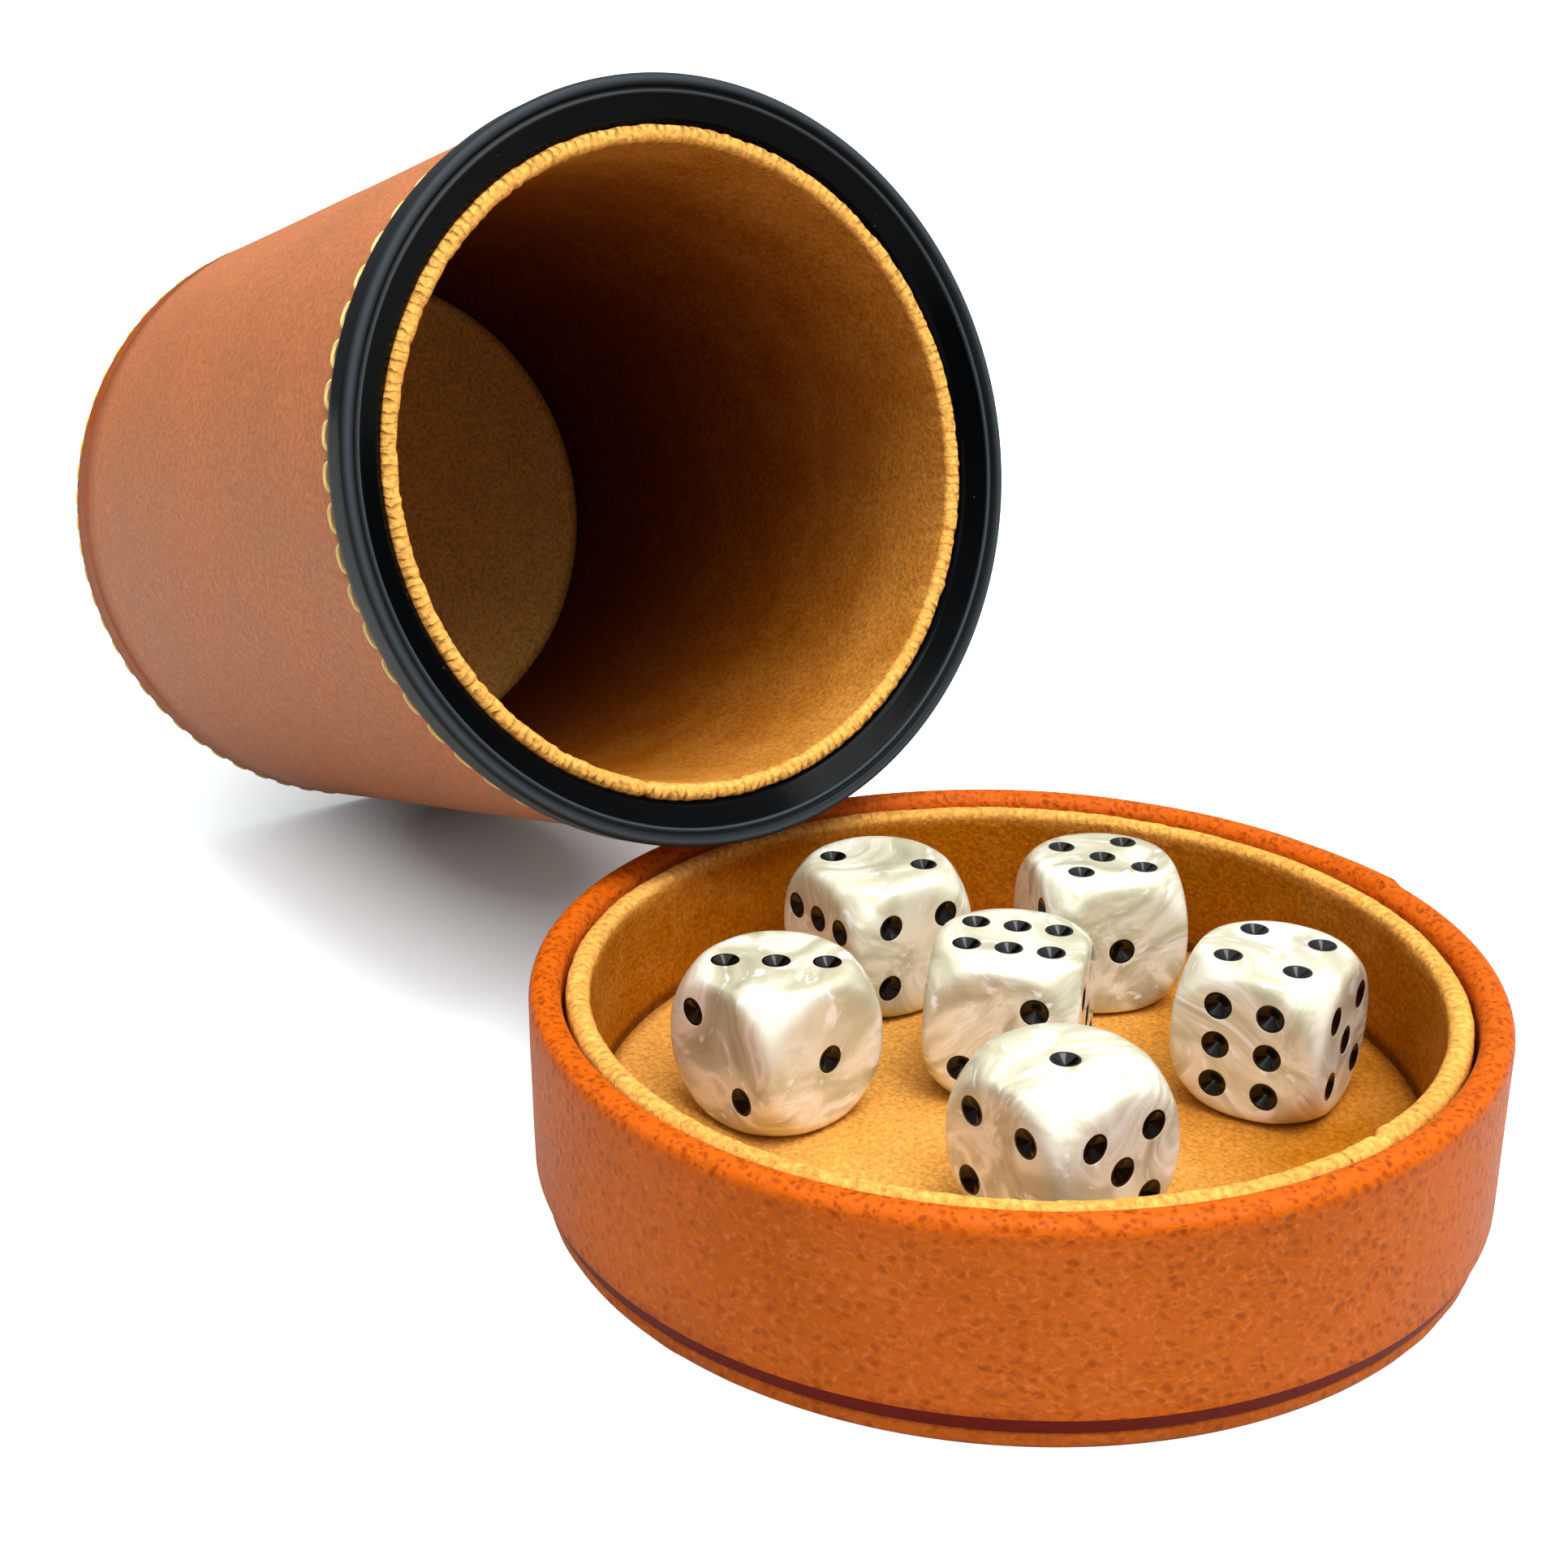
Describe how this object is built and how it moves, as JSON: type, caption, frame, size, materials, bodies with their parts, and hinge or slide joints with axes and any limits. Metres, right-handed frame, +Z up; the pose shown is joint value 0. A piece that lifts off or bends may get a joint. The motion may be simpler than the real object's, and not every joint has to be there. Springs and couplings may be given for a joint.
{
  "type": "dice cup",
  "caption": "Round leather-covered dice cup lying propped on its open lid, velour lined, with a black rim ring and pearl dice in the lid tray.",
  "frame": {"origin": "centre of the lid's base, on the table", "axes": "+Z up; +X horizontally from the cup towards the lid, so that the cup's axis lies in an XZ plane; the cup's mouth faces +X and slightly up"},
  "size_m": [0.2026, 0.0974, 0.1054],
  "materials": {
    "lid_leather": "orange-tan grained leather, satin",
    "cup_leather": "reddish tan smooth leather, satin",
    "velour": "golden-brown short velour, matt",
    "foam": "thin foam sheet, matt",
    "grey_board": "raw grey board",
    "black_plastic": "moulded black, satin",
    "yellow_thread": "waxed golden-yellow sewing thread",
    "pearl_acrylic": "swirled ivory pearl, polished",
    "pip_paint": "black gloss paint"
  },
  "bodies": {
    "lid": {"lid_base_board": "grey_board", "lid_base_leather": "lid_leather", "lid_wall_board": "grey_board", "lid_wall_leather": "lid_leather", "lid_collar_board": "grey_board", "lid_collar_lining": "velour", "lid_floor_board": "grey_board", "lid_floor_pad": "foam", "lid_floor_lining": "velour"},
    "cup": {"cup_base_leather": "cup_leather", "cup_base_board": "grey_board", "cup_wall_board": "grey_board", "cup_wall_leather": "cup_leather", "cup_rim_ring": "black_plastic", "cup_lining_board": "grey_board", "cup_lining": "velour", "cup_floor_board": "grey_board", "cup_floor_lining": "velour", "cup_rim_stitches": "yellow_thread", "cup_base_stitches": "yellow_thread"},
    "die_1": {"die_1": "pearl_acrylic", "die_1_pips": "pip_paint"},
    "die_2": {"die_2": "pearl_acrylic", "die_2_pips": "pip_paint"},
    "die_3": {"die_3": "pearl_acrylic", "die_3_pips": "pip_paint"},
    "die_4": {"die_4": "pearl_acrylic", "die_4_pips": "pip_paint"},
    "die_5": {"die_5": "pearl_acrylic", "die_5_pips": "pip_paint"},
    "die_6": {"die_6": "pearl_acrylic", "die_6_pips": "pip_paint"}
  },
  "joints": [
    {"name": "cup_stand_up", "type": "hinge", "parent": "lid", "child": "cup", "pos_m": [-0.13285, -0.0056, 0.0006], "axis": [0, -1, 0], "range_deg": [0, 75.36]},
    {"name": "die_1_lift", "type": "slide", "parent": "lid", "child": "die_1", "axis": [0, 0, 1], "range_m": [0, 0.04]},
    {"name": "die_2_lift", "type": "slide", "parent": "lid", "child": "die_2", "axis": [0, 0, 1], "range_m": [0, 0.04]},
    {"name": "die_3_lift", "type": "slide", "parent": "lid", "child": "die_3", "axis": [0, 0, 1], "range_m": [0, 0.04]},
    {"name": "die_4_lift", "type": "slide", "parent": "lid", "child": "die_4", "axis": [0, 0, 1], "range_m": [0, 0.04]},
    {"name": "die_5_lift", "type": "slide", "parent": "lid", "child": "die_5", "axis": [0, 0, 1], "range_m": [0, 0.04]},
    {"name": "die_6_lift", "type": "slide", "parent": "lid", "child": "die_6", "axis": [0, 0, 1], "range_m": [0, 0.04]}
  ]
}
